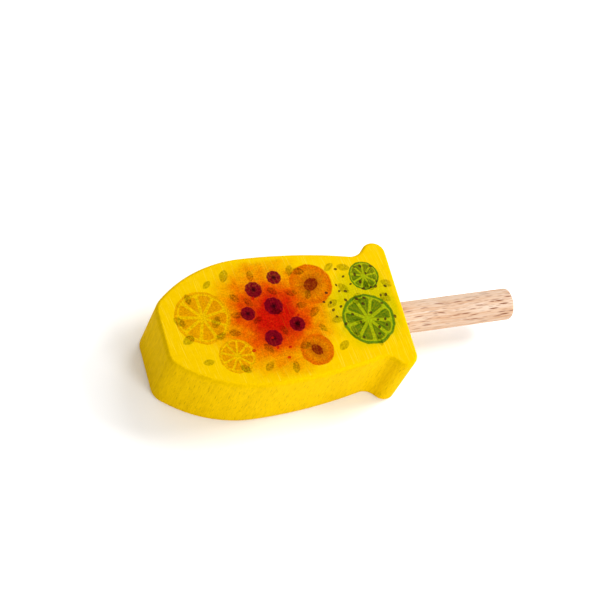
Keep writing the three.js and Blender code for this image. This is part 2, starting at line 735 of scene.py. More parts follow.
LEMON = Inks(body="BE7A00", pale="CBA000", dark="C68A00")
PEACH = Inks(body="BA5500", pale="C47C00", dark="6A1604")
LIME = Inks(body="235408", pale="879708", dark="35600C")
RASPBERRY = Inks(body="620112", pale="860616", dark="200208")


@dataclass(frozen=True)
class Placed:
    """A motif on the printed face: its centre and radius in millimetres, turned in degrees."""

    motif: Motif
    inks: Inks
    x: float
    y: float
    radius: float
    turn: float


@dataclass(frozen=True)
class Glow:
    """A soft, ragged patch of ink: its centre, and where it starts and ends to fade."""

    ink: str
    x: float
    y: float
    full: float
    gone: float
    cover: float = 1.0


@dataclass(frozen=True)
class Scatter:
    """Leaves, seeds or specks strewn over part of the face, with sizes in millimetres."""

    ink: str
    blend: Blend
    cover: float
    cell: float
    half_size: tuple[float, float]
    share: float
    x: float
    y: float
    reach: float


@dataclass(frozen=True)
class FruitMotif:
    """A fruit drawn on a disc of radius 1 about the origin.

    Its group gives three masks, Body, Pale and Dark, one for each of the motif's inks. All sizes
    are shares of the radius.
    """

    waver: Mottle = Mottle(2.2)
    waver_reach: Span = Span(0.0, 1.0, 0.9, 1.1)

    def disc(
        self, motif: Motif
    ) -> tuple[bpy.types.NodeTree, bpy.types.NodeSocket, bpy.types.Node, bpy.types.Node]:
        """Starts a motif's group.

        Args:
            motif: The motif that the group draws.

        Returns:
            The tree, the place on the disc, the reach from its centre, which wavers as a brush
            does, and the angle about it in turns.
        """
        tree, given = new_group(
            motif.value,
            Tree.SHADING,
            {"Place": Socket.VECTOR},
            {mask: Socket.NUMBER for mask in ("Body", "Pale", "Dark")},
        )
        place = given["Place"]
        waver = add_node(tree, NOISE, place, *self.waver)
        waver = add_node(tree, RANGE, waver, *self.waver_reach)
        reach = add_node(tree, VECTORS, place, operation="LENGTH")
        reach = add_node(tree, MATHS, reach, waver, operation="MULTIPLY")
        split = add_node(tree, SPLIT, place).outputs
        angle = add_node(tree, MATHS, split["Y"], split["X"], operation="ARCTAN2")
        angle = add_node(tree, MATHS, angle, FULL_TURN, operation="DIVIDE")
        return tree, place, reach, angle

    @staticmethod
    def combed(
        tree: bpy.types.NodeTree,
        angle: bpy.types.Node,
        reach: bpy.types.Node,
        strands: float,
        flesh: Mottle,
    ) -> bpy.types.Node:
        """Adds a pattern that is drawn out from the centre, as the flesh of fruit is.

        Args:
            tree: The motif's tree.
            angle: The angle about the centre in turns.
            reach: The reach from the centre.
            strands: How many times a turn is stretched.
            flesh: The pattern.

        Returns:
            The node, from 0 to 1.
        """
        around = add_node(tree, MATHS, angle, strands, operation="MULTIPLY")
        around = add_node(tree, JOIN, around, reach, 0.0)
        return add_node(tree, NOISE, around, *flesh)


@dataclass(frozen=True)
class CitrusWheel(FruitMotif):
    """A citrus wheel: segments of flesh between pale membranes, in a rind."""

    segments: int = 9
    membrane: float = 0.04  # half its width
    flesh_reach: float = 0.86
    core_reach: float = 0.1
    corner: float = 0.16  # how far a segment's outer corners are rounded
    flesh_edge: Span = Span(-0.03, 0.04)
    juice_strands: float = 40.0
    juice: Mottle = Mottle(2.5)
    juice_cover: Span = Span(0.3, 0.7, 0.7, 1.0)
    disc_edge: Span = Span(0.97, 0.9)
    rind_middle: float = 0.95
    rind_cover: Span = Span(0.07, 0.03, 0.0, 0.9)

    def group(self) -> bpy.types.NodeTree:
        """Builds the group that draws the wheel.

        Returns:
            The group, from a place to its masks.
        """
        tree, _, reach, angle = self.disc(Motif.CITRUS)
        share = add_node(tree, MATHS, angle, self.segments, operation="MULTIPLY")
        share = add_node(tree, MATHS, share, operation="FRACT")
        share = add_node(tree, MATHS, share, 0.5, operation="SUBTRACT")
        share = add_node(tree, MATHS, share, operation="ABSOLUTE")
        aside = add_node(tree, MATHS, 0.5, share, operation="SUBTRACT")
        aside = add_node(tree, MATHS, aside, FULL_TURN / self.segments, operation="MULTIPLY")
        aside = add_node(tree, MATHS, aside, reach, operation="MULTIPLY")
        aside = add_node(tree, MATHS, aside, self.membrane, operation="SUBTRACT")
        below_rind = add_node(tree, MATHS, self.flesh_reach, reach, operation="SUBTRACT")
        past_core = add_node(tree, MATHS, reach, self.core_reach, operation="SUBTRACT")
        depth = add_node(tree, MATHS, aside, below_rind, self.corner, operation="SMOOTH_MIN")
        depth = add_node(tree, MATHS, depth, past_core, operation="MINIMUM")
        flesh = add_node(tree, RANGE, depth, *self.flesh_edge, **EASED)
        juice = self.combed(tree, angle, reach, self.juice_strands, self.juice)
        juice = add_node(tree, RANGE, juice, *self.juice_cover)
        body = add_node(tree, MATHS, flesh, juice, operation="MULTIPLY")

        disc = add_node(tree, RANGE, reach, *self.disc_edge, **EASED)
        pale = add_node(tree, MATHS, disc, flesh, operation="SUBTRACT", use_clamp=True)
        rim = add_node(tree, MATHS, reach, self.rind_middle, operation="SUBTRACT")
        rim = add_node(tree, MATHS, rim, operation="ABSOLUTE")
        rind = add_node(tree, RANGE, rim, *self.rind_cover, **EASED)
        add_node(tree, RESULT, body, pale, rind)
        return tree


@dataclass(frozen=True)
class HalvedPeach(FruitMotif):
    """A halved peach: combed flesh round a dark stone, under a thin skin."""

    skin_edge: Span = Span(1.0, 0.92)
    streak_strands: float = 26.0
    streaks: Mottle = Mottle(1.2)
    streak_cover: Span = Span(0.4, 0.7, 0.25, 0.9)
    flesh_edge: Span = Span(0.9, 0.55)
    squeeze: tuple[float, float, float] = (1.0, 1.35, 1.0)  # makes the stone an oval
    wrinkles: float = 7.0  # cells in a radius
    wrinkle_cover: Span = Span(0.1, 0.6, 0.75, 1.0)
    stone_edge: Span = Span(0.42, 0.34)
    blush_cover: Span = Span(0.75, 0.4, 0.0, 0.4)

    def group(self) -> bpy.types.NodeTree:
        """Builds the group that draws the half.

        Returns:
            The group, from a place to its masks.
        """
        tree, place, reach, angle = self.disc(Motif.PEACH)
        body = add_node(tree, RANGE, reach, *self.skin_edge, **EASED)
        streak = self.combed(tree, angle, reach, self.streak_strands, self.streaks)
        streak = add_node(tree, RANGE, streak, *self.streak_cover)
        flesh = add_node(tree, RANGE, reach, *self.flesh_edge, **EASED)
        pale = add_node(tree, MATHS, streak, flesh, operation="MULTIPLY")
        stretched = add_node(tree, VECTORS, place, self.squeeze, operation="MULTIPLY")
        stone = add_node(tree, VECTORS, stretched, operation="LENGTH")
        wrinkle = add_node(tree, CELLS, place, self.wrinkles)
        wrinkle = add_node(tree, RANGE, wrinkle, *self.wrinkle_cover)
        heart = add_node(tree, RANGE, stone, *self.stone_edge, **EASED)
        heart = add_node(tree, MATHS, heart, wrinkle, operation="MULTIPLY")
        blush = add_node(tree, RANGE, stone, *self.blush_cover)
        dark = add_node(tree, MATHS, heart, blush, operation="MAXIMUM")
        add_node(tree, RESULT, body, pale, dark)
        return tree


@dataclass(frozen=True)
class RaspberryTop(FruitMotif):
    """A raspberry seen from above: small round lobes about a dark heart."""

    lobes: int = 9
    lobe_height: float = 0.03
    lobe_reach: float = 0.95
    body_edge: Span = Span(-0.06, 0.08)
    drupelets: float = 2.6  # cells in a radius
    shine_cover: Span = Span(0.3, 0.05, 0.0, 0.9)
    heart_cover: Span = Span(0.4, 0.12, 0.0, 0.9)

    def group(self) -> bpy.types.NodeTree:
        """Builds the group that draws the berry.

        Returns:
            The group, from a place to its masks.
        """
        tree, place, reach, angle = self.disc(Motif.RASPBERRY)
        wave = add_node(tree, MATHS, angle, FULL_TURN * self.lobes, operation="MULTIPLY")
        wave = add_node(tree, MATHS, wave, operation="COSINE")
        outline = add_node(
            tree, MATHS, wave, self.lobe_height, self.lobe_reach, operation="MULTIPLY_ADD"
        )
        depth = add_node(tree, MATHS, outline, reach, operation="SUBTRACT")
        body = add_node(tree, RANGE, depth, *self.body_edge, **EASED)
        lobes = add_node(tree, CELLS, place, self.drupelets)
        shine = add_node(tree, RANGE, lobes, *self.shine_cover)
        pale = add_node(tree, MATHS, shine, body, operation="MULTIPLY")
        heart = add_node(tree, RANGE, reach, *self.heart_cover)
        add_node(tree, RESULT, body, pale, heart)
        return tree


@dataclass(frozen=True)
class StrewnOvals:
    """Pointed ovals strewn over the face, each in its own cell and turned its own way."""

    inside: bpy.types.NodeTree  # tells how far inside the outline a place lies
    straying: float = 0.75  # how far a centre strays in its cell
    growth: Span = Span(0.0, 1.0, 0.7, 1.1)
    length_power: float = 2.0
    width_power: float = 1.4  # below 2, it points the ends
    oval_edge: Span = Span(0.0, 0.35)
    rib_cover: Span = Span(0.0, 0.1, 0.8, 1.0)  # a paler line down the middle
    margin: float = 2.8  # least distance of a centre from the outline, in millimetres

    def group(self) -> bpy.types.NodeTree:
        """Builds the group that strews them.

        Returns:
            The group, from a place and sizes in millimetres to a mask.
        """
        tree, given = new_group(
            "strewn ovals",
            Tree.SHADING,
            {
                "Place": Socket.VECTOR,
                "Cell": Socket.NUMBER,
                "Half size": Socket.VECTOR,
                "Share": Socket.NUMBER,
                "Centre": Socket.VECTOR,
                "Reach": Socket.NUMBER,
            },
            {"Mask": Socket.NUMBER},
        )
        cell = add_node(tree, JOIN, given["Cell"], given["Cell"], given["Cell"])
        flat = add_node(tree, VECTORS, given["Place"], FLATTEN, operation="MULTIPLY")
        spaced = add_node(tree, VECTORS, flat, cell, operation="DIVIDE")
        straying = {"Randomness": self.straying}
        cells = add_node(tree, CELLS, spaced, 1.0, named=straying, voronoi_dimensions="2D")
        middle = add_node(tree, VECTORS, cells.outputs["Position"], cell, operation="MULTIPLY")
        drawn = add_node(tree, CHANNELS, cells.outputs["Color"]).outputs

        oval = self.oval(tree, given, flat, middle, drawn)
        kept = add_node(tree, MATHS, drawn["Green"], given["Share"], operation="LESS_THAN")
        away = add_node(tree, VECTORS, middle, given["Centre"], operation="DISTANCE")
        near = add_node(tree, MATHS, away, given["Reach"], operation="LESS_THAN")
        deep = add_node(tree, GROUP, middle, node_tree=self.inside)
        deep = add_node(tree, MATHS, deep, self.margin, operation="GREATER_THAN")
        for rule in (kept, near, deep):
            oval = add_node(tree, MATHS, oval, rule, operation="MULTIPLY")
        add_node(tree, RESULT, oval)
        return tree

    def oval(
        self,
        tree: bpy.types.NodeTree,
        given: Sockets,
        flat: bpy.types.Node,
        middle: bpy.types.Node,
        drawn: Sockets,
    ) -> bpy.types.Node:
        """Adds the oval of a cell.

        Args:
            tree: The group's tree.
            given: The group's inputs.
            flat: The place on the face.
            middle: The oval's centre.
            drawn: Random numbers of the cell: Red turns the oval, and Blue sizes it.

        Returns:
            The mask's node.
        """
        aside = add_node(tree, VECTORS, flat, middle, operation="SUBTRACT")
        angle = add_node(tree, MATHS, drawn["Red"], FULL_TURN, operation="MULTIPLY")
        aside = add_node(
            tree,
            "ShaderNodeVectorRotate",
            named={"Vector": aside, "Angle": angle},
            rotation_type="Z_AXIS",
        )
        aside = add_node(tree, VECTORS, aside, given["Half size"], operation="DIVIDE")
        grown = add_node(tree, RANGE, drawn["Blue"], *self.growth)
        own = add_node(tree, SPLIT, aside).outputs
        length = add_node(tree, MATHS, own["X"], self.length_power, operation="POWER")
        width = add_node(tree, MATHS, own["Y"], operation="ABSOLUTE")
        width = add_node(tree, MATHS, width, self.width_power, operation="POWER")
        depth = add_node(tree, MATHS, length, width, operation="ADD")
        depth = add_node(tree, MATHS, grown, depth, operation="SUBTRACT")
        oval = add_node(tree, RANGE, depth, *self.oval_edge, **EASED)
        rib = add_node(tree, RANGE, width, *self.rib_cover)
        return add_node(tree, MATHS, oval, rib, operation="MULTIPLY")


@dataclass
class Press:
    """Prints one ink after another over a colour, as well as the wood takes them."""

    tree: bpy.types.NodeTree
    take: bpy.types.Node
    grit: bpy.types.Node
    colour: bpy.types.Node

    def ink(self, mask: Source, ink: str, cover: float, blend: Blend) -> None:
        """Prints one ink.

        Args:
            mask: Where it goes, from 0 to 1.
            ink: Its colour.
            cover: How much of what is under it is hidden.
            blend: How it meets what is under it.
        """
        share = add_node(self.tree, MATHS, mask, cover, operation="MULTIPLY")
        share = add_node(self.tree, MATHS, share, self.take, operation="MULTIPLY")
        gritty = add_node(
            self.tree,
            MIX,
            1.0,
            linear(ink),
            self.grit,
            blend_type=Blend.THROUGH.value,
            **IN_COLOUR,
        )
        self.colour = add_node(
            self.tree,
            MIX,
            share,
            self.colour,
            gritty,
            blend_type=blend.value,
            **IN_COLOUR,
        )


@dataclass(frozen=True, kw_only=True)
class PrintedBeech(StainedBeech):
    """The block's end grain, stained yellow, with fruit printed on it in translucent inks.

    On end grain the rays are long pale lines, because they take less stain and ink.
    """

    profile: Profile
    yellow: str = "D5AD00"
    stain_depth: float = 0.22
    ray: str = "E6C24A"
    ray_strength: float = 0.28
    ray_take: Span = Span(0.1, 1.0, 1.0, 0.78)  # how well a ray takes ink
    pores: Mottle = Mottle(1.6, 3.0, 0.7)
    pore_take: Span = Span(0.3, 0.55, 0.85, 1.0)
    print_edge: Span = Span(1.0, 2.4)  # in millimetres inside the outline
    grit: Mottle = Mottle(2.3)  # the press's dots are finer: these are as coarse as needed to show
    grit_shades: Span = Span(0.3, 0.7, 0.68, 1.18)
    rags: Mottle = Mottle(0.2, 4.0, 0.6)
    rag_reach: Span = Span(0.0, 1.0, -6.5, 6.5)  # how far a glow's edge strays, in millimetres
    glows: tuple[Glow, ...] = (
        Glow("CB7900", x=-24.0, y=0.5, full=13.0, gone=23.0),
        Glow("C24400", x=-24.0, y=0.5, full=8.5, gone=17.0),
        Glow("AB0B04", x=-23.5, y=0.5, full=4.0, gone=12.0),
        Glow("989F00", x=6.5, y=0.0, full=7.0, gone=16.0, cover=0.6),
    )
    fruit: tuple[Placed, ...] = (
        Placed(Motif.CITRUS, LEMON, -45.6, 3.2, radius=8.6, turn=12),
        Placed(Motif.CITRUS, LEMON, -38.2, -10.6, radius=5.6, turn=40),
        Placed(Motif.PEACH, PEACH, -9.2, 9.6, radius=7.0, turn=35),
        Placed(Motif.PEACH, PEACH, -13.2, -12.0, radius=5.4, turn=-50),
        Placed(Motif.CITRUS, LIME, 5.8, -4.4, radius=8.4, turn=30),
        Placed(Motif.CITRUS, LIME, 8.4, 10.2, radius=4.8, turn=5),
        Placed(Motif.RASPBERRY, RASPBERRY, -27.6, 10.2, radius=2.8, turn=20),
        Placed(Motif.RASPBERRY, RASPBERRY, -20.2, 13.4, radius=2.4, turn=50),
        Placed(Motif.RASPBERRY, RASPBERRY, -31.4, 2.6, radius=2.4, turn=5),
        Placed(Motif.RASPBERRY, RASPBERRY, -22.8, 4.0, radius=3.1, turn=75),
        Placed(Motif.RASPBERRY, RASPBERRY, -17.0, -2.8, radius=2.6, turn=33),
        Placed(Motif.RASPBERRY, RASPBERRY, -25.6, -6.4, radius=2.9, turn=60),
    )
    mint_leaves: Scatter = Scatter(
        ink="D0D4AE",
        blend=Blend.THROUGH,
        cover=1.0,
        cell=6.2,
        half_size=(2.3, 1.4),
        share=0.78,
        x=-20.0,
        y=0.0,
        reach=60.0,
    )
    berry_specks: Scatter = Scatter(
        ink="A40C06",
        blend=Blend.OVER,
        cover=0.95,
        cell=3.4,
        half_size=(0.75, 0.55),
        share=0.42,
        x=-27.0,
        y=-3.0,
        reach=12.0,
    )
    dark_seeds: Scatter = Scatter(
        ink="3B200E",
        blend=Blend.OVER,
        cover=0.95,
        cell=2.6,
        half_size=(0.7, 0.5),
        share=0.5,
        x=5.0,
        y=2.0,
        reach=13.0,
    )

    def material(self) -> bpy.types.Material:
        """Builds the material of the printed face.

        Returns:
            The material, its fibres along Z.
        """
        material, tree, place = self.start()
        figure = self.figure(tree, place)
        colour = self.stain(tree, figure)
        ray = add_node(
            tree, MATHS, figure.outputs["Ray"], self.ray_strength, operation="MULTIPLY"
        )
        colour = add_node(
            tree,
            MIX,
            ray,
            colour,
            linear(self.ray),
            blend_type=Blend.LIGHTENING.value,
            **IN_COLOUR,
        )

        inside = self.profile.margin()
        depth = add_node(tree, GROUP, place, node_tree=inside)
        take = self.take(tree, place, figure, depth)
        grit = add_node(tree, NOISE, place, *self.grit)
        grit = add_node(tree, RANGE, grit, *self.grit_shades)
        press = Press(tree, take, grit, colour)
        self.print_glows(press, place)
        self.print_fruit(press, place)
        self.print_scatters(press, place, inside)
        self.close(tree, press.colour, figure)
        return material

    def take(
        self,
        tree: bpy.types.NodeTree,
        place: bpy.types.Node,
        figure: bpy.types.Node,
        depth: bpy.types.Node,
    ) -> bpy.types.Node:
        """Adds how well the wood takes ink: less on rays and pores, not at all at the edge.

        Args:
            tree: The material's tree.
            place: The place on the piece in millimetres.
            figure: The beech's figure.
            depth: How far inside the outline the place lies.

        Returns:
            The node, from 0 to 1.
        """
        pores = add_node(tree, NOISE, place, *self.pores)
        pores = add_node(tree, RANGE, pores, *self.pore_take)
        rays = add_node(tree, RANGE, figure.outputs["Ray"], *self.ray_take)
        edge = add_node(tree, RANGE, depth, *self.print_edge, **EASED)
        take = add_node(tree, MATHS, pores, rays, operation="MULTIPLY")
        return add_node(tree, MATHS, take, edge, operation="MULTIPLY")

    def print_glows(self, press: Press, place: bpy.types.Node) -> None:
        """Prints the soft patches under the fruit.

        Args:
            press: The press.
            place: The place on the piece in millimetres.
        """
        tree = press.tree
        flat = add_node(tree, VECTORS, place, FLATTEN, operation="MULTIPLY")
        ragged = add_node(tree, NOISE, place, *self.rags)
        ragged = add_node(tree, RANGE, ragged, *self.rag_reach)
        for glow in self.glows:
            away = add_node(tree, VECTORS, flat, (glow.x, glow.y, 0.0), operation="DISTANCE")
            away = add_node(tree, MATHS, away, ragged, operation="ADD")
            mask = add_node(tree, RANGE, away, glow.gone, glow.full, **EASED)
            press.ink(mask, glow.ink, glow.cover, Blend.OVER)

    def print_fruit(self, press: Press, place: bpy.types.Node) -> None:
        """Prints the fruit, each in its three inks.

        Args:
            press: The press.
            place: The place on the piece in millimetres.
        """
        tree = press.tree
        groups = {
            Motif.CITRUS: CitrusWheel().group(),
            Motif.PEACH: HalvedPeach().group(),
            Motif.RASPBERRY: RaspberryTop().group(),
        }
        for placed in self.fruit:
            own = add_node(
                tree,
                PLACING,
                place,
                named={
                    "Location": (placed.x, placed.y, 0.0),
                    "Rotation": (0.0, 0.0, math.radians(placed.turn)),
                    "Scale": (placed.radius, placed.radius, 1.0),
                },
                vector_type="TEXTURE",
            )
            own = add_node(tree, VECTORS, own, FLATTEN, operation="MULTIPLY")
            masks = add_node(tree, GROUP, own, node_tree=groups[placed.motif])
            inks = (placed.inks.body, placed.inks.pale, placed.inks.dark)
            for mask, ink in zip(masks.outputs, inks):
                press.ink(mask, ink, cover=1.0, blend=Blend.OVER)

    def print_scatters(
        self, press: Press, place: bpy.types.Node, inside: bpy.types.NodeTree
    ) -> None:
        """Prints the leaves, specks and seeds.

        Args:
            press: The press.
            place: The place on the piece in millimetres.
            inside: The group that tells how far inside the outline a place lies.
        """
        group = StrewnOvals(inside).group()
        for scatter in (self.mint_leaves, self.berry_specks, self.dark_seeds):
            mask = add_node(
                press.tree,
                GROUP,
                place,
                scatter.cell,
                (*scatter.half_size, 1.0),
                scatter.share,
                (scatter.x, scatter.y, 0.0),
                scatter.reach,
                node_tree=group,
            )
            press.ink(mask, scatter.ink, scatter.cover, scatter.blend)


@dataclass(frozen=True)
class GeometryTree:
    """A tree of Geometry Nodes that makes a piece from a base mesh."""

    tree: bpy.types.NodeTree
    given: Sockets
    sizes: Mapping[str, float | int]

    @classmethod
    def start(
        cls, name: str, lengths: Mapping[str, float], counts: Mapping[str, int]
    ) -> "GeometryTree":
        """Starts a tree that has its sizes as inputs with names.

        Args:
            name: The tree's name.
            lengths: Names of its lengths and places, and their values in metres.
            counts: Names of its counts, and their values.

        Returns:
            The tree, with nothing in it but its inputs.
        """
        inputs = {"Base": Socket.GEOMETRY}
        inputs |= {label: Socket.NUMBER for label in lengths}
        inputs |= {label: Socket.COUNT for label in counts}
        tree, given = new_group(name, Tree.SHAPING, inputs, {"Piece": Socket.GEOMETRY})
        return cls(tree, given, {**lengths, **counts})

    def straight(
        self,
        start: Sequence[Source],
        end: Sequence[Source],
        count: bpy.types.NodeSocket | None = None,
    ) -> bpy.types.Node:
        """Adds a straight stretch of a section, in the XY plane.

        Args:
            start: X and Y of its start.
            end: X and Y of its end.
            count: How many points it gets, or None for its two ends alone.

        Returns:
            The curve's node.
        """
        near = add_node(self.tree, JOIN, *start, 0.0)
        far = add_node(self.tree, JOIN, *end, 0.0)
        line = add_node(self.tree, "GeometryNodeCurvePrimitiveLine", near, far)
        if count is None:
            return line
        divided = {"Curve": line, "Count": count}
        return add_node(self.tree, "GeometryNodeResampleCurve", named=divided)

    def arc(
        self,
        steps: bpy.types.NodeSocket,
        radius: bpy.types.NodeSocket,
        turn: tuple[float, float],
        centre: Sequence[Source],
    ) -> bpy.types.Node:
        """Adds a round stretch of a section, in the XY plane.

        Args:
            steps: How many points it has.
            radius: Its radius.
            turn: The angle where it starts and the angle that it sweeps, in radians.
            centre: X and Y of its centre.

        Returns:
            The curve's node.
        """
        start, sweep = turn
        arc = add_node(
            self.tree,
            "GeometryNodeCurveArc",
            steps,
            named={"Radius": radius, "Start Angle": start, "Sweep Angle": sweep},
        )
        middle = add_node(self.tree, JOIN, *centre, 0.0)
        return add_node(self.tree, MOVE, named={"Geometry": arc, "Translation": middle})

    def chain(self, curves: Sequence[bpy.types.Node]) -> bpy.types.Node:
        """Makes one curve of those that meet end to end.

        Args:
            curves: The nodes of the curves.

        Returns:
            The curve's node.
        """
        edges = add_node(self.tree, "GeometryNodeJoinGeometry", curves)
        edges = add_node(self.tree, "GeometryNodeCurveToMesh", edges)
        met = {"Geometry": edges, "Distance": WELD}
        edges = add_node(self.tree, "GeometryNodeMergeByDistance", named=met)
        return add_node(self.tree, "GeometryNodeMeshToCurve", edges)

    def realise(self, name: str, base: bpy.types.Mesh) -> bpy.types.Object:
        """Runs the tree once and keeps its result as a plain mesh.

        Args:
            name: The piece's name.
            base: The mesh that the tree starts from.

        Returns:
            The piece, at the origin, without modifiers.
        """
        source = put_in_scene(f"{name}_base", base)
        modifier = source.modifiers.new("shape", "NODES")
        modifier.node_group = self.tree
        for item in self.tree.interface.items_tree:
            if item.name in self.sizes:
                modifier[item.identifier] = self.sizes[item.name]
        graph = bpy.context.evaluated_depsgraph_get()
        mesh = bpy.data.meshes.new_from_object(source.evaluated_get(graph))
        mesh.name = name
        bpy.data.objects.remove(source)
        for index in reversed(range(len(mesh.materials))):
            if mesh.materials[index] is None:
                mesh.materials.pop(index=index)
        return put_in_scene(name, mesh)


def line_mesh(name: str, points: Sequence[Vector], closed: bool) -> bpy.types.Mesh:
    """Makes a mesh of one chain of edges.

    Args:
        name: The mesh's name.
        points: The chain's points, in order.
        closed: Whether the last point joins the first.

    Returns:
        The mesh.
    """
    count = len(points)
    edges = [(i, (i + 1) % count) for i in range(count if closed else count - 1)]
    mesh = bpy.data.meshes.new(name)
    mesh.from_pydata([point.to_3d() for point in points], edges, [])
    return mesh


@dataclass
class MouldedBlock:
    """The block: a slice of a moulded beech profile, its edges rounded by sanding."""

    profile: Profile
    sides: bpy.types.Material
    face: bpy.types.Material
    side_rows: int = 14
    edge_radius: float = 1 * MM
    edge_steps: int = 9
    edge_unevenness: float = 0.25 * MM
    sanding: Mottle = Mottle(90.0)  # in metres: a patch is about 11 mm wide
    edge_middle: float = 0.5  # upward share of the direction, midway from a side to a flat face
    edge_fade: Span = Span(0.49, 0.1)  # how far from that middle sanding ends, and is full
    flat_margin: float = 0.3 * MM
    face_up: float = 0.999  # least upward share of the direction of what is printed
    stick_radius: float = 5 * MM
    stick_clearance: float = 0.08 * MM
    stick_depth: float = 20 * MM
    hole_sides: int = 96
    crisp_angle: float = math.radians(35)

    def shape(self) -> GeometryTree:
        """Builds the tree that raises the outline to a block and drills it for the stick.

        Returns:
            The tree with its sizes.
        """
        plan = GeometryTree.start(
            "moulded block",
            {
                "Thickness": self.profile.high.z - self.profile.low.z,
                "Edge radius": self.edge_radius,
                "Edge unevenness": self.edge_unevenness,
                "Foot": self.profile.high.x,
                "Hole radius": self.stick_radius + self.stick_clearance,
                "Hole depth": self.stick_depth,
                "Flat margin": self.flat_margin,
            },
            {"Edge steps": self.edge_steps, "Side rows": self.side_rows},
        )
        tree, given = plan.tree, plan.given
        rail = add_node(tree, "GeometryNodeMeshToCurve", given["Base"])
        rail = add_node(tree, "GeometryNodeSetCurveNormal", rail, mode="Z_UP")
        wall = add_node(tree, "GeometryNodeCurveToMesh", rail, self.side_profile(plan))
        wall = add_node(tree, "GeometryNodeFlipFaces", wall)
        lower = self.cap(plan, rail)
        lift = add_node(tree, JOIN, 0.0, 0.0, given["Thickness"])
        upper = add_node(tree, MOVE, named={"Geometry": lower, "Translation": lift})
        lower = add_node(tree, "GeometryNodeFlipFaces", lower)
        body = add_node(tree, "GeometryNodeJoinGeometry", (wall, lower, upper))
        body = add_node(tree, "GeometryNodeMergeByDistance", body, named={"Distance": WELD})
        body = self.sanded(plan, body)
        body = self.drilled(plan, body)
        body = self.shaded(plan, body)
        body = add_node(tree, "GeometryNodeRealizeInstances", body)
        body = add_node(tree, "GeometryNodeSetMaterial", body, named={"Material": self.sides})
        top = add_node(tree, SPLIT, add_node(tree, "GeometryNodeInputNormal")).outputs["Z"]
        top = add_node(tree, "FunctionNodeCompare", top, self.face_up, operation="GREATER_THAN")
        printed = {"Geometry": body, "Selection": top, "Material": self.face}
        body = add_node(tree, "GeometryNodeSetMaterial", named=printed)
        add_node(tree, RESULT, body)
        return plan

    @staticmethod
    def side_profile(plan: GeometryTree) -> bpy.types.Node:
        """Adds the curve that is swept round the outline: a wall between two round edges.

        Args:
            plan: The block's tree.

        Returns:
            The curve's node, with outwards along X and down along Y.
        """
        tree, given = plan.tree, plan.given
        radius, steps = given["Edge radius"], given["Edge steps"]
        inwards = add_node(tree, MATHS, radius, -1.0, operation="MULTIPLY")
        margin = add_node(tree, MATHS, inwards, given["Flat margin"], operation="SUBTRACT")
        top = add_node(tree, MATHS, given["Thickness"], -1.0, operation="MULTIPLY")
        upper = add_node(tree, MATHS, top, radius, operation="ADD")
        return plan.chain(
            (
                plan.arc(steps, radius, (-QUARTER_TURN, QUARTER_TURN), (inwards, upper)),
                plan.straight((inwards, top), (margin, top)),
                plan.arc(steps, radius, (0.0, QUARTER_TURN), (inwards, inwards)),
                plan.straight((inwards, 0.0), (margin, 0.0)),
                plan.straight((0.0, inwards), (0.0, upper), given["Side rows"]),
            )
        )

    @staticmethod
    def cap(plan: GeometryTree, rail: bpy.types.Node) -> bpy.types.Node:
        """Adds the flat face inside the rounded edge.

        Args:
            plan: The block's tree.
            rail: The outline as a curve.

        Returns:
            The face's node, at z = 0 and facing up.
        """
        tree, given = plan.tree, plan.given
        inset = add_node(
            tree, MATHS, given["Edge radius"], given["Flat margin"], operation="ADD"
        )
        inset = add_node(tree, MATHS, inset, -1.0, operation="MULTIPLY")
        normal = add_node(tree, "GeometryNodeInputNormal")
        offset = add_node(tree, VECTORS, normal, named={"Scale": inset}, operation="SCALE")
        rim = add_node(tree, SHIFT, named={"Geometry": rail, "Offset": offset})
        return add_node(tree, "GeometryNodeFillCurve", rim, mode="NGONS")

    def sanded(self, plan: GeometryTree, body: bpy.types.Node) -> bpy.types.Node:
        """Takes a little more or less off the rounded edges, as hand sanding does.

        Args:
            plan: The block's tree.
            body: The block.

        Returns:
            The block's node.
        """
        tree = plan.tree
        normal = add_node(tree, "GeometryNodeInputNormal")
        level = add_node(tree, SPLIT, normal).outputs["Z"]
        level = add_node(tree, MATHS, level, operation="ABSOLUTE")
        level = add_node(tree, MATHS, level, self.edge_middle, operation="SUBTRACT")
        level = add_node(tree, MATHS, level, operation="ABSOLUTE")
        share = add_node(tree, RANGE, level, *self.edge_fade, **EASED)
        place = add_node(tree, "GeometryNodeInputPosition")
        amount = add_node(tree, NOISE, place, *self.sanding)
        for factor in (share, plan.given["Edge unevenness"], -1.0):
            amount = add_node(tree, MATHS, amount, factor, operation="MULTIPLY")
        offset = add_node(tree, VECTORS, normal, named={"Scale": amount}, operation="SCALE")
        return add_node(tree, SHIFT, named={"Geometry": body, "Offset": offset})

    def drilled(self, plan: GeometryTree, body: bpy.types.Node) -> bpy.types.Node:
        """Drills the stick's hole into the foot.

        Args:
            plan: The block's tree.
            body: The block.

        Returns:
            The block's node.
        """
        tree, given = plan.tree, plan.given
        # The drill's middle stands on the foot's flat face, so half of its length goes in.
        length = add_node(tree, MATHS, given["Hole depth"], 2.0, operation="MULTIPLY")
        height = add_node(tree, MATHS, given["Thickness"], 0.5, operation="MULTIPLY")
        centre = add_node(tree, JOIN, given["Foot"], 0.0, height)
        drill = add_node(
            tree,
            "GeometryNodeMeshCylinder",
            named={
                "Vertices": self.hole_sides,
                "Radius": given["Hole radius"],
                "Depth": length,
            },
        )
        drill = add_node(
            tree,
            MOVE,
            named={
                "Geometry": drill,
                "Translation": centre,
                "Rotation": (0.0, QUARTER_TURN, 0.0),
            },
        )
        return add_node(tree, "GeometryNodeMeshBoolean", body, (drill,), solver="EXACT")

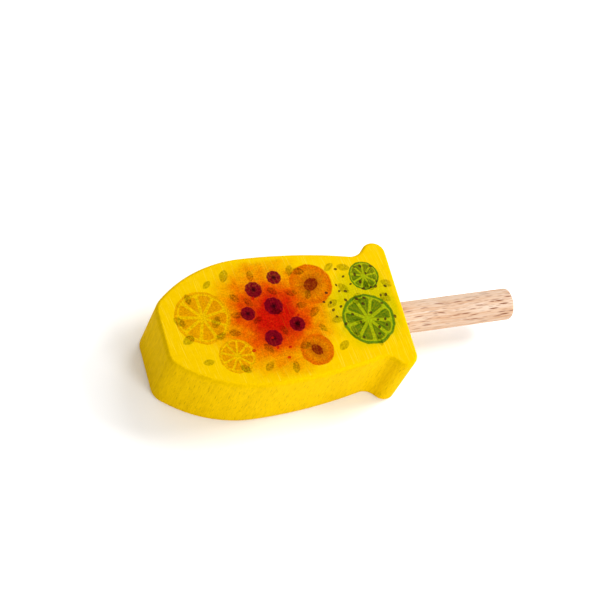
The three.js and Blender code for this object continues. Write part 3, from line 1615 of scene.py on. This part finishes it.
    def shaded(self, plan: GeometryTree, body: bpy.types.Node) -> bpy.types.Node:
        """Shades the round edges smooth, and keeps the hole's mouth crisp.

        Args:
            plan: The block's tree.
            body: The block.

        Returns:
            The block's node.
        """
        tree = plan.tree
        smooth = add_node(tree, "GeometryNodeSetShadeSmooth", body)
        angle = add_node(tree, "GeometryNodeInputMeshEdgeAngle")
        crisp = add_node(
            tree, "FunctionNodeCompare", angle, self.crisp_angle, operation="GREATER_THAN"
        )
        return add_node(
            tree,
            "GeometryNodeSetShadeSmooth",
            named={"Geometry": smooth, "Selection": crisp, "Shade Smooth": False},
            domain="EDGE",
        )

    def build(self) -> bpy.types.Object:
        """Makes the block and puts it in the frame.

        Returns:
            The finished piece.
        """
        base = line_mesh("block_outline", self.profile.outline(), closed=True)
        piece = self.shape().realise("moulded_block", base)
        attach(piece, Body.WHOLE.value)
        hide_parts("painted_block")
        return piece


@dataclass
class TurnedStick:
    """The stick: a length of beech dowel with its rims rounded off."""

    low: Vector
    high: Vector
    wood: bpy.types.Material
    rim_radius: float = 1.1 * MM
    rim_steps: int = 9
    stations: int = 80
    sides: int = 96

    def shape(self) -> GeometryTree:
        """Builds the tree that turns a half section about the stick's axis.

        Returns:
            The tree with its sizes.
        """
        plan = GeometryTree.start(
            "turned stick",
            {
                "Length": self.high.x - self.low.x,
                "Radius": (self.high.z - self.low.z) / 2,
                "Rim radius": self.rim_radius,
            },
            {"Rim steps": self.rim_steps, "Stations": self.stations, "Sides": self.sides},
        )
        tree, given = plan.tree, plan.given
        stick = self.turned(plan, self.half_section(plan))
        start = (self.low.x, 0.0, (self.low.z + self.high.z) / 2)
        stick = add_node(tree, MOVE, named={"Geometry": stick, "Translation": start})
        stick = add_node(tree, "GeometryNodeSetShadeSmooth", stick)
        stick = add_node(tree, "GeometryNodeRealizeInstances", stick)
        stick = add_node(tree, "GeometryNodeSetMaterial", stick, named={"Material": self.wood})
        add_node(tree, RESULT, stick)
        return plan

    @staticmethod
    def half_section(plan: GeometryTree) -> bpy.types.Node:
        """Adds the curve from one end to the other: a straight side between two round rims.

        Args:
            plan: The stick's tree.

        Returns:
            The curve's node, with the axis along X and the radius along Y.
        """
        tree, given = plan.tree, plan.given
        rim, steps, radius = given["Rim radius"], given["Rim steps"], given["Radius"]
        level = add_node(tree, MATHS, radius, rim, operation="SUBTRACT")
        last = add_node(tree, MATHS, given["Length"], rim, operation="SUBTRACT")
        return plan.chain(
            (
                plan.arc(steps, rim, (HALF_TURN, -QUARTER_TURN), (rim, level)),
                plan.arc(steps, rim, (QUARTER_TURN, -QUARTER_TURN), (last, level)),
                plan.straight((rim, radius), (last, radius), given["Stations"]),
            )
        )

    @staticmethod
    def turned(plan: GeometryTree, section: bpy.types.Node) -> bpy.types.Node:
        """Turns a half section about X, as a ring that grows and shrinks along the axis.

        Args:
            plan: The stick's tree.
            section: The half section.

        Returns:
            The solid's node, with closed ends.
        """
        tree = plan.tree
        place = add_node(tree, SPLIT, add_node(tree, "GeometryNodeInputPosition")).outputs
        section = add_node(
            tree,
            "GeometryNodeSetCurveRadius",
            named={"Curve": section, "Radius": place["Y"]},
        )
        axis = add_node(tree, JOIN, place["X"], 0.0, 0.0)
        section = add_node(tree, SHIFT, named={"Geometry": section, "Position": axis})
        ring = add_node(
            tree,
            "GeometryNodeCurvePrimitiveCircle",
            named={"Resolution": plan.given["Sides"], "Radius": 1.0},
        )
        return add_node(
            tree,
            "GeometryNodeCurveToMesh",
            named={
                "Curve": section,
                "Profile Curve": ring,
                "Scale": add_node(tree, "GeometryNodeInputRadius"),
                "Fill Caps": True,
            },
        )

    def build(self) -> bpy.types.Object:
        """Makes the stick and puts it in the frame.

        Returns:
            The finished piece.
        """
        base = line_mesh("stick_start", [Vector((0.0, 0.0, 0.0))], closed=False)
        piece = self.shape().realise("turned_stick", base)
        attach(piece, Body.WHOLE.value)
        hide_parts("dowel_stick")
        return piece


@dataclass(frozen=True)
class SoftBox:
    """A round soft box: where it hangs as seen from the lolly, in degrees, and its power."""

    name: str
    azimuth: float
    elevation: float
    size: float
    power: float


@dataclass
class Studio:
    """A plain white table under soft light, and the camera that looks down on it."""

    floor_half_size: float = 3.0
    floor_white: str = "FCFCFC"
    floor_roughness: float = 0.9
    floor_specular: float = 0.1
    sky_strength: float = 0.69
    box_distance: float = 0.7
    boxes: tuple[SoftBox, ...] = (
        SoftBox("key_over_stick", azimuth=9.0, elevation=45.0, size=0.3, power=3.3),
        SoftBox("fill_behind", azimuth=48.0, elevation=56.0, size=0.35, power=1.4),
        SoftBox("fill_in_front", azimuth=-66.0, elevation=21.0, size=0.4, power=2.8),
    )
    target: Vector = field(default_factory=lambda: Vector((-8.83, 10.65, 12.78)) * MM)
    camera_azimuth: float = -131.89
    camera_elevation: float = 58.49
    camera_roll: float = 29.93
    camera_distance: float = 695.7 * MM
    camera_lens: float = 135.52
    camera_sensor: float = 36.0
    camera_clip: float = 10 * MM

    @staticmethod
    def direction(azimuth: float, elevation: float) -> Vector:
        """Gives the unit vector towards a place in the sky.

        Args:
            azimuth: Degrees from +X towards +Y.
            elevation: Degrees above the floor.

        Returns:
            The vector.
        """
        turn, rise = math.radians(azimuth), math.radians(elevation)
        return Vector(
            (math.cos(turn) * math.cos(rise), math.sin(turn) * math.cos(rise), math.sin(rise))
        )

    def build(self) -> None:
        """Makes the floor, the lights and the camera."""
        self.floor()
        self.sky()
        self.lamps()
        self.camera()

    def floor(self) -> None:
        """Lays the floor that the lolly rests on, of matt white card."""
        half = self.floor_half_size
        mesh = bpy.data.meshes.new("floor")
        corners = [(-half, -half, 0), (half, -half, 0), (half, half, 0), (-half, half, 0)]
        mesh.from_pydata(corners, [], [(0, 1, 2, 3)])
        floor = put_in_scene("floor", mesh)
        material = bpy.data.materials.new("white card, matt")
        material.use_nodes = True
        shader = material.node_tree.nodes["Principled BSDF"]
        shader.inputs["Base Color"].default_value = linear(self.floor_white)
        shader.inputs["Roughness"].default_value = self.floor_roughness
        shader.inputs["Specular IOR Level"].default_value = self.floor_specular
        mesh.materials.append(material)

    def sky(self) -> None:
        """Surrounds the table with even white light."""
        world = bpy.data.worlds.new("soft studio")
        world.use_nodes = True
        background = world.node_tree.nodes["Background"]
        background.inputs["Color"].default_value = (1.0, 1.0, 1.0, 1.0)
        background.inputs["Strength"].default_value = self.sky_strength
        bpy.context.scene.world = world

    def lamps(self) -> None:
        """Hangs the soft boxes round the lolly."""
        for box in self.boxes:
            towards = self.direction(box.azimuth, box.elevation)
            light = bpy.data.lights.new(box.name, "AREA")
            light.shape = "DISK"
            light.size = box.size
            light.energy = box.power
            lamp = put_in_scene(box.name, light)
            lamp.location = self.target + towards * self.box_distance
            lamp.rotation_euler = towards.to_track_quat("Z", "Y").to_euler()

    def camera(self) -> None:
        """Sets the camera, turned about its line of sight."""
        towards = self.direction(self.camera_azimuth, self.camera_elevation)
        data = bpy.data.cameras.new("camera")
        data.lens = self.camera_lens
        data.sensor_width = self.camera_sensor
        data.clip_start = self.camera_clip
        camera = put_in_scene("camera", data)
        roll = Matrix.Rotation(math.radians(self.camera_roll), 4, "Z")
        camera.matrix_world = (
            Matrix.Translation(self.target + towards * self.camera_distance)
            @ towards.to_track_quat("Z", "Y").to_matrix().to_4x4()
            @ roll
        )
        bpy.context.scene.camera = camera


def main() -> None:
    """Builds the finishes and the pieces, in order, and reports each piece."""
    logging.basicConfig(level=logging.INFO, format="%(name)s: %(message)s")
    bpy.context.scene.view_settings.view_transform = "Standard"

    block_grain = BeechGrain(
        name="beech_across_the_plank",
        broad=Rays(spacing=(0.72, 9.0, 3.4), half_size=(0.15, 4.6, 1.5), share=0.9),
        fine=Rays(spacing=(0.42, 4.0, 1.5), half_size=(0.11, 2.2, 0.7), share=0.85),
        fibre_size=(0.42, 0.5, 4.0),
    ).group()
    stick_grain = BeechGrain(
        name="beech_along_the_dowel",
        broad=Rays(spacing=(1.05, 4.0, 5.0), half_size=(0.27, 3.2, 2.3), share=0.95),
        fine=Rays(spacing=(0.7, 3.0, 3.0), half_size=(0.15, 2.2, 1.3), share=0.7),
        fibre_size=(0.35, 0.5, 12.0),
    ).group()
    # The block is cut across the fibres, so they stand along Z and the rays run nearly along Y.
    upright = (0.0, 0.0, math.radians(-7.5))
    # The dowel's fibres run along X, and its rays lean over a little.
    lying = (math.radians(-114.0), -QUARTER_TURN, 0.0)
    profile = Profile(*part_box("painted_block"))
    sides = StainedBeech("beech_stained_yellow_moulded", block_grain, upright).material()
    face = PrintedBeech(
        "beech_end_grain_printed", block_grain, upright, profile=profile
    ).material()
    bare = BareBeech("beech_bare_dowel", stick_grain, lying).material()

    makers = (
        MouldedBlock(profile=profile, sides=sides, face=face),
        TurnedStick(*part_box("dowel_stick"), wood=bare),
    )
    for maker in makers:
        piece = maker.build()
        log.info("%s: %d faces", piece.name, len(piece.data.polygons))
    Studio().build()


if __name__ == "__main__":
    main()
